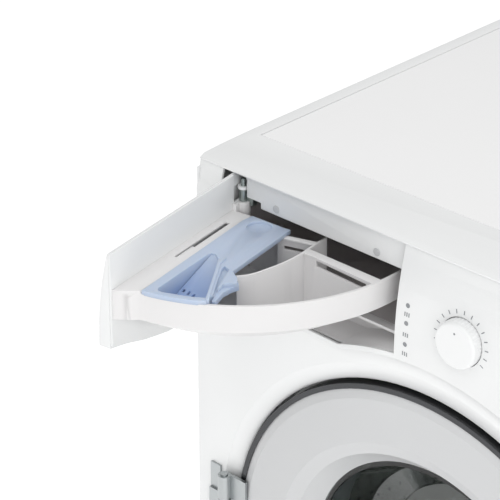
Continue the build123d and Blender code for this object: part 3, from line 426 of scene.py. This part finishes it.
def copied(node, flatten):
    """A copy of a CAD node, free to be shaped: doubled corners merged, and flat faces made whole if asked."""
    piece = nodes[node].copy()
    piece.data = nodes[node].data.copy()
    piece.name = node + "_finished"
    piece.parent = None
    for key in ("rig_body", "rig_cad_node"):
        del piece[key]
    bpy.context.scene.collection.objects.link(piece)
    take(piece)
    bpy.ops.object.mode_set(mode="EDIT")
    bpy.ops.mesh.select_all(action="SELECT")
    bpy.ops.mesh.remove_doubles(threshold=0.00001)
    if flatten:
        bpy.ops.mesh.dissolve_limited(angle_limit=radians(0.5), delimit={"NORMAL"})
    bpy.ops.object.mode_set(mode="OBJECT")
    return piece


def softened(node, width_mm):
    """A CAD node's shape with its edges rounded as its mould or press leaves them."""
    piece = copied(node, flatten=True)
    soften(piece, width_mm)
    finish_piece(piece, node)
    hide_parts(node)


for node_name, width in (
    ("worktop_panel", 0.8), ("worktop_frame", 1.2), ("control_panel", 0.7), ("dispenser_header", 0.5),
    ("drawer_front", 0.7), ("drawer_liner", 0.4), ("detergent_tray", 0.5), ("drawer_scoop", 0.5),
    ("kick_panel", 0.8), ("service_flap", 0.6), ("programme_knob", 0.6), ("start_button", 0.4),
    ("option_button", 0.4), ("screws", 0.5), ("display_window", 0.5), ("door_handle", 0.6),
    ("hinge_washer", 0.4), ("hinge_bracket", 0.3), ("dispenser_housing", 0.5), ("front_panel", 0.5),
):
    softened(node_name, width)


# ---- new pieces ----
def prism(name, outline, low, high):
    """A solid between two heights in mm over drawer points; a point's third number is its own low height."""
    bpy.ops.object.select_all(action="DESELECT")
    bpy.ops.mesh.primitive_circle_add(vertices=len(outline), radius=0.1, fill_type="NGON")
    piece = bpy.context.object
    piece.name = name
    for vertex, corner in zip(piece.data.vertices, outline):
        vertex.co = drawer_point(corner[0], corner[1], high)
    bpy.ops.object.mode_set(mode="EDIT")
    bpy.ops.mesh.select_all(action="SELECT")
    bpy.ops.mesh.extrude_region_move()
    bpy.ops.object.mode_set(mode="OBJECT")
    lower = [vertex for vertex in piece.data.vertices if vertex.select]
    for vertex in lower:
        corner = min(outline, key=lambda place: (drawer_point(place[0], place[1], high) - vertex.co).length)
        depth = corner[2] if len(corner) > 2 else low
        vertex.co = drawer_point(corner[0], corner[1], depth)
    bpy.ops.object.mode_set(mode="EDIT")
    bpy.ops.mesh.select_all(action="SELECT")
    bpy.ops.mesh.normals_make_consistent(inside=False)
    bpy.ops.object.mode_set(mode="OBJECT")
    return piece


def combine(piece, other, how):
    """Adds the other solid to the piece or cuts it away; the other one is used up."""
    take(piece)
    join = piece.modifiers.new(how.lower(), "BOOLEAN")
    join.operation = how
    join.solver = "EXACT"
    join.object = other
    bpy.ops.object.modifier_apply(modifier=join.name)
    bpy.data.objects.remove(other, do_unlink=True)


def arc_points(radius, start, end, steps):
    """Points about the hinge axis, angles in degrees from the drawer front."""
    angles = [radians(start + (end - start) * i / steps) for i in range(steps + 1)]
    return [(radius * cos(a), radius * sin(a)) for a in angles]


def circle_points(u, v, radius, steps=32):
    """Points round a centre, in the two directions of the outline."""
    angles = [2 * pi * i / steps for i in range(steps)]
    return [(u + radius * cos(a), v + radius * sin(a)) for a in angles]


def make_insert():
    """The clear blue softener insert: a plate with a dimple, and a well that falls to the round end."""
    top = 806.3         # the plate's upper face
    well_floor = 779    # the well's deep end
    band_radius = 194.0
    outline = [(27, 17), (193, 19.2)]
    # the round end lies along the band
    outline += [(u, v + 0.6) for u, v in arc_points(band_radius, 7.5, 21.5, 8)]
    outline += [(176, 78.6), (141.1, 73.2), (133.1, 82.8), (124.8, 77.9), (116.7, 66.8), (17.4, 66),
                (17.6, 58.6), (13.5, 19.6)]
    insert = prism("softener_insert_finished", outline, top - 4.6, top)
    outer = [(96, 27.2), (183, 27.2), (186.3, 31), (186.4, 36), (181, 56.5), (177, 67.5), (172.6, 77),
             (130, 57), (101, 43), (95.6, 34)]
    combine(insert, prism("well_body", outer, well_floor - 2, top - 1), "UNION")
    combine(insert, prism("siphon_cap", circle_points(31.5, 38, 14.5), 790, top - 1), "UNION")
    # the wall along the well stands a little proud, and ends in a small upright tongue
    rim = [(101, 46.5), (112, 47.4), (127.3, 54.9), (174.5, 77.6), (173, 79.6), (126, 57.2), (112, 50.2),
           (101, 49.0)]
    combine(insert, prism("well_rim", rim, top - 6, top + 1.6), "UNION")
    # the floor starts just below the plate at the tip and falls steeply to the round end
    well = [(103.7, 28.8, 804), (140, 28.8, 779.5), (181.5, 28.8), (184.6, 32), (184.7, 36), (179.4, 56),
            (175.4, 66.8), (171.4, 75), (140, 60.2, 779.5), (103.6, 42.2, 803), (97.8, 35.4, 804.6),
            (98.4, 30.4, 804.6)]
    combine(insert, prism("well_cut", well, well_floor, top + 4), "DIFFERENCE")
    # a step beside the wall, where the plate drops before the finger tab
    step = [(112, 54.8), (118, 55.6), (131, 61.6), (168, 79.4), (166, 82), (147.7, 72.6), (126.4, 66),
            (115.6, 62.6)]
    combine(insert, prism("step_cut", step, top - 3.4, top + 0.5), "DIFFERENCE")
    combine(insert, prism("dimple_cut", circle_points(29.5, 38.5, 12.6), top - 2.6, top + 1), "DIFFERENCE")
    # three drain slots at the well's deep end
    for u, v in ((146.5, 33), (147.5, 39), (148.5, 45)):
        slot_cut = [(u - 2.2, v - 1.1), (u + 2.6, v - 1.1), (u + 2.6, v + 1.5), (u - 2.2, v + 1.5)]
        combine(insert, prism("slot_cut", slot_cut, 770, 790), "DIFFERENCE")
    # finger tab, curled down at the outer corner
    tab = [(124.5, 73), (134.2, 70.5), (148.2, 71.9), (168, 79.4), (167, 82.6), (149.6, 78.6), (138.2, 80),
           (130.0, 83), (124, 78)]
    combine(insert, prism("tab", tab, top - 9, top - 3.6), "UNION")
    soften(insert, 0.35, 2, 40)
    finish_piece(insert, "softener_insert")
    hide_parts("softener_insert")


make_insert()


def finish_header_pegs():
    """The two round pegs on the drawer's header take white plastic greyed with painted shade; the other
    screws are zinc plated.
    """
    peg_reach = 20 * MM
    screws = bpy.data.objects["screws_finished"]
    screws.data.materials.append(peg_painted_shade)
    for face in screws.data.polygons:
        if face.center.y < front_y + peg_reach:
            face.material_index = 1


def panel_y(x, z):
    """The control panel's front face at x and z in mm: bowed in plan, and leaning back further up."""
    stands_forward, end_bow, half_width = 4.9, 5.9, 297.5
    lean_from, lean_radius = 745, 396.6
    bow = end_bow * (x / half_width) ** 2
    lean = lean_radius - (lean_radius ** 2 - max(z - lean_from, 0) ** 2) ** 0.5
    return front_y + (max(lean, bow) - stands_forward) * MM


def printed(points):
    """One mark printed on the control panel, over corners in mm."""
    ink_height = 0.12
    bpy.ops.object.select_all(action="DESELECT")
    bpy.ops.mesh.primitive_circle_add(vertices=len(points), radius=0.01, fill_type="NGON")
    mark = bpy.context.object
    for vertex, (x, z) in zip(mark.data.vertices, points):
        vertex.co = (x * MM, panel_y(x, z) - ink_height * MM, z * MM)
    return mark


def bar(x, z, width, height):
    """The corners of an upright or level bar about its centre."""
    return [(x - width / 2, z - height / 2), (x + width / 2, z - height / 2),
            (x + width / 2, z + height / 2), (x - width / 2, z + height / 2)]


def middle_of(node):
    """The middle of a CAD node seen from the front, as x and z in mm."""
    low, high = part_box(node)
    return Vector(((low.x + high.x) / 2, (low.z + high.z) / 2)) / MM


def make_panel_marks():
    """Plain marks, no writing: ticks round the knob, a column of signs, and bars under the buttons."""
    marks = []
    knob = middle_of("programme_knob")
    ticks = 15
    for i in range(ticks):
        a = radians(-30 + i * 240 / (ticks - 1))
        out = Vector((cos(a), sin(a)))
        side = Vector((-out.y, out.x)) * 0.5
        inner, outer = knob + out * 27, knob + out * 31
        marks.append(printed((inner + side, outer + side, outer - side, inner - side)))
    column_x = -23
    for z in (788, 770, 748):
        marks.append(printed(circle_points(column_x, z, 2.4, 16)))
    for z in (779, 758, 738):
        for shift in (-2.4, 0, 2.4):
            marks.append(printed(bar(column_x + shift, z, 1.2, 4.2)))
    for key in ("option_button", "start_button"):
        x, z = middle_of(key)
        marks.append(printed(bar(x, z - 14, 9, 0.9)))
        marks.append(printed(bar(x, z - 16.4, 5, 0.9)))
    bpy.ops.object.select_all(action="DESELECT")
    for mark in marks:
        mark.select_set(True)
    bpy.context.view_layer.objects.active = marks[0]
    bpy.ops.object.join()
    sheet = bpy.context.object
    sheet.name = "panel_marks"
    bpy.ops.object.mode_set(mode="EDIT")
    bpy.ops.mesh.select_all(action="SELECT")
    bpy.ops.mesh.normals_make_consistent(inside=False)
    bpy.ops.object.mode_set(mode="OBJECT")
    paint(sheet, print_ink)
    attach(sheet, body_of["control_panel"])


def round_piece(name, node, centre, radii, thickness, width_mm, smooth=35):
    """A disc facing the front, whose rim follows the given radii in mm, with its edges rounded."""
    bpy.ops.object.select_all(action="DESELECT")
    bpy.ops.mesh.primitive_circle_add(vertices=len(radii), radius=0.01, fill_type="NGON")
    piece = bpy.context.object
    piece.name = name
    for i, (vertex, radius) in enumerate(zip(piece.data.vertices, radii)):
        a = 2 * pi * i / len(radii)
        vertex.co = centre + Vector((radius * cos(a), 0, radius * sin(a))) * MM
    bpy.ops.object.mode_set(mode="EDIT")
    bpy.ops.mesh.select_all(action="SELECT")
    bpy.ops.mesh.extrude_region_move(TRANSFORM_OT_translate={"value": (0, thickness * MM, 0)})
    bpy.ops.mesh.select_all(action="SELECT")
    bpy.ops.mesh.normals_make_consistent(inside=False)
    bpy.ops.object.mode_set(mode="OBJECT")
    soften(piece, width_mm, 2)
    finish_piece(piece, node, smooth)
    return piece


def make_knob_grip():
    """The fluted grip round the programme knob, and the dot that points at the chosen programme."""
    low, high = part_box("programme_knob")
    middle = Vector(((low.x + high.x) / 2, low.y + 3.4 * MM, (low.z + high.z) / 2))
    flutes = 36
    ridge, groove = 23.3, 22.7
    radii = [ridge, ridge, groove, groove] * flutes
    round_piece("knob_grip", "programme_knob", middle, radii, 10.5, 0.2, 20)
    dot = Vector((middle.x, low.y - 0.15 * MM, middle.z + 13 * MM))
    pointer = round_piece("knob_pointer", "programme_knob", dot, [1.1] * 20, 0.6, 0.1)
    paint(pointer, print_ink)


def make_band_recess():
    """A shallow recess in the tray's end, beside the drawer front."""
    tray = bpy.data.objects["detergent_tray_finished"]
    recess = [(203, 8.6), (196.4, 19), (193.8, 17.4), (200.2, 6.9)]
    combine(tray, prism("recess_cut", recess, 770, 799), "DIFFERENCE")
    finish_piece(tray, "detergent_tray")


def make_rear_ribs():
    """Ribs pressed into the rear sheet, which stiffen it."""
    back_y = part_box("rear_panel")[1].y
    ribs = (
        (0, 205, 420, 9), (0, 165, 420, 9), (0, 690, 300, 9),
        (-245, 452, 9, 380), (245, 452, 9, 380), (0, 125, 420, 9),
    )
    for x, z, width, height in ribs:
        bpy.ops.object.select_all(action="DESELECT")
        bpy.ops.mesh.primitive_cube_add(size=1, location=(x * MM, back_y + 0.4 * MM, z * MM))
        rib = bpy.context.object
        rib.name = "rear_rib"
        bpy.ops.transform.resize(value=(width * MM, 1.2 * MM, height * MM))
        bpy.ops.object.transform_apply(location=True, scale=True)
        soften(rib, 0.8, 3)
        finish_piece(rib, "rear_panel")


def make_springs():
    """The two suspension springs as coils of 3.4 mm wire, between the cabinet and the tub."""
    wire_radius, coil_radius, turns, steps = 1.7, 11, 36, 20
    axis_inset = 13.2 * MM      # from the side of the two springs' box to a coil's axis
    low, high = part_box("suspension_springs")
    y = (low.y + high.y) / 2
    springs = []
    for x in (low.x + axis_inset, high.x - axis_inset):
        bpy.ops.object.select_all(action="DESELECT")
        bpy.ops.mesh.primitive_circle_add(vertices=10, radius=wire_radius * MM, fill_type="NOTHING",
                                          rotation=(pi / 2, 0, 0))
        spring = bpy.context.object
        spring.name = "suspension_spring"
        bpy.ops.object.transform_apply(rotation=True)
        bpy.ops.object.mode_set(mode="EDIT")
        bpy.ops.mesh.select_all(action="SELECT")
        bpy.ops.transform.translate(value=(coil_radius * MM, 0, 0))
        bpy.ops.object.mode_set(mode="OBJECT")
        coil = spring.modifiers.new("coil", "SCREW")
        coil.axis = "Z"
        coil.iterations = turns
        coil.screw_offset = (high.z - low.z - 4 * MM) / turns
        coil.steps = steps
        coil.render_steps = steps
        bpy.ops.object.modifier_apply(modifier=coil.name)
        spring.location = (x, y, low.z + 2 * MM)
        bpy.ops.object.transform_apply(location=True)
        take(spring)
        bpy.ops.object.shade_smooth_by_angle(angle=radians(60))
        paint(spring, black_paint)
        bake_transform(spring)
        springs.append(spring)
    for spring in springs:
        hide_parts("suspension_springs")


def make_seal():
    """The door seal, as one piece, its edges rounded and smooth shaded, in grey rubber."""
    seal = copied("door_seal", flatten=False)
    soften(seal, 0.8, 2)
    bpy.ops.object.shade_smooth_by_angle(angle=radians(40))
    paint(seal, seal_rubber)
    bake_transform(seal)
    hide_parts("door_seal")


finish_header_pegs()
make_seal()
make_springs()
make_panel_marks()
make_knob_grip()
make_band_recess()
make_rear_ribs()


# ---- floor and light ----
def make_stage():
    """A plain pale floor that glows a little, so that it is as white as the surroundings."""
    material, place = blank("floor_pale")
    speckle = add_node(material, "ShaderNodeTexNoise", inputs={"Vector": place, "Scale": pattern_scale(400)})
    colour = add_node(material, "ShaderNodeMix", {"data_type": "RGBA"},
                      {0: speckle.outputs["Fac"], 6: linear("#FBFBFB"), 7: linear("#F8F8F8")})
    shader = add_node(material, "ShaderNodeBsdfPrincipled", inputs={
        "Base Color": colour.outputs[2], "Roughness": 0.9, "Emission Color": linear("#FFFFFF"),
        "Emission Strength": 0.4})
    close(material, shader)
    bpy.ops.object.select_all(action="DESELECT")
    bpy.ops.mesh.primitive_plane_add(size=30, location=(0, 0, 0))
    floor = bpy.context.object
    floor.name = "floor"
    paint(floor, material)


def make_lights():
    """Soft white surroundings and three broad lamps: above, on the right, and behind."""
    world = bpy.data.worlds.new("studio")
    bpy.context.scene.world = world
    world.use_nodes = True
    world.node_tree.nodes["Background"].inputs["Color"].default_value = linear("#FFFFFF")
    world.node_tree.nodes["Background"].inputs["Strength"].default_value = 0.62
    bpy.context.scene.view_settings.view_transform = "Standard"
    for name, place, size, power in (
        ("key_light", (0.3, -1.5, 3.6), 2.6, 27.0),
        ("fill_light", (2.8, -1.8, 2.0), 2.6, 28.0),
        ("back_light", (0.6, 2.6, 3.0), 2.4, 16.0),
    ):
        lamp = bpy.data.lights.new(name, "AREA")
        lamp.shape = "DISK"
        lamp.size = size
        lamp.energy = power
        light = bpy.data.objects.new(name, lamp)
        bpy.context.scene.collection.objects.link(light)
        light.location = place
        light.rotation_mode = "QUATERNION"
        light.rotation_quaternion = (Vector((0, 0, 0.6)) - light.location).to_track_quat("-Z", "Y")


make_stage()
make_lights()
